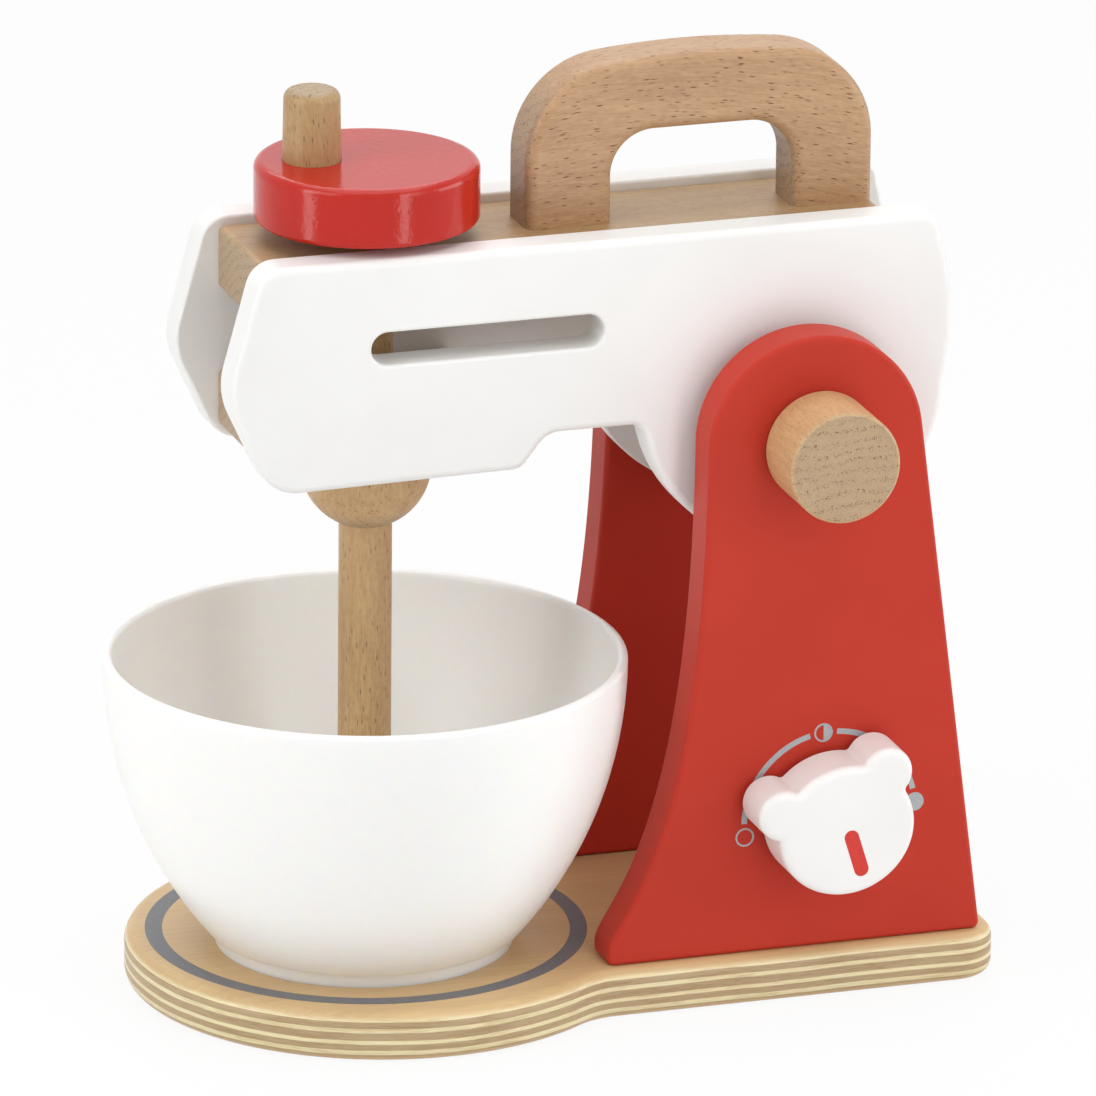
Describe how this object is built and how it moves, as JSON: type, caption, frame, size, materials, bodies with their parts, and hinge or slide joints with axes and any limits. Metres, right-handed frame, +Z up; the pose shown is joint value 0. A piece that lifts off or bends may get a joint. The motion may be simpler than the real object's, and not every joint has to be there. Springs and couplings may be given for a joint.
{
  "type": "toy stand mixer",
  "caption": "Wooden toy stand mixer: a tilting arm with crank disc, beater rod and carrying handle between two uprights, a loose bowl and a turning dial.",
  "frame": {"origin": "on the underside of the base board, straight below the axis of the beater rod", "axes": "+Z up, +X from the bowl to the uprights, so the near side with the dial is -Y"},
  "size_m": [0.1985, 0.1235, 0.2131],
  "materials": {
    "birch_ply": "lacquered birch plywood with bare ply edges",
    "red_paint": "satin red paint",
    "red_gloss": "glossy red paint",
    "white_paint": "satin white paint",
    "beech": "oiled beech",
    "white_plastic": "smooth satin white",
    "steel": "zinc plated"
  },
  "bodies": {
    "stand": {"base_board": "birch_ply", "upright_near": "red_paint", "upright_far": "red_paint", "base_screws": "steel", "stop_dowel": "beech", "pivot_spacer_near": "beech", "pivot_spacer_far": "beech"},
    "arm": {"arm_plate_near": "white_paint", "arm_plate_far": "white_paint", "arm_top_bar": "beech", "arm_nose_block": "beech", "arm_dowels": "beech", "carry_handle": "beech", "handle_screws": "steel", "pivot_axle": "beech", "pivot_knob_near": "beech", "pivot_knob_far": "beech"},
    "crank": {"crank_disc": "red_gloss", "crank_peg": "beech", "crank_washer": "beech", "beater_rod": "beech", "beater_hub": "beech", "beater_pin_lower": "beech", "beater_pin_upper": "beech"},
    "bowl": {"bowl": "white_plastic"},
    "dial": {"dial_knob": "white_paint", "dial_washer": "beech", "dial_screw": "steel"}
  },
  "joints": [
    {"name": "arm_tilt", "type": "hinge", "parent": "stand", "child": "arm", "pos_m": [0.0928, 0, 0.1302], "axis": [0, 1, 0], "range_deg": [0, 65]},
    {"name": "crank_spin", "type": "hinge", "parent": "arm", "child": "crank", "pos_m": [0, 0, 0.15], "axis": [0, 0, 1], "continuous": true},
    {"name": "dial_turn", "type": "hinge", "parent": "stand", "child": "dial", "pos_m": [0.0967, -0.042, 0.042], "axis": [0, -1, 0], "range_deg": [-103, 80]},
    {"name": "bowl_lift", "type": "slide", "parent": "stand", "child": "bowl", "axis": [0, 0, 1], "range_m": [0, 0.016]}
  ]
}
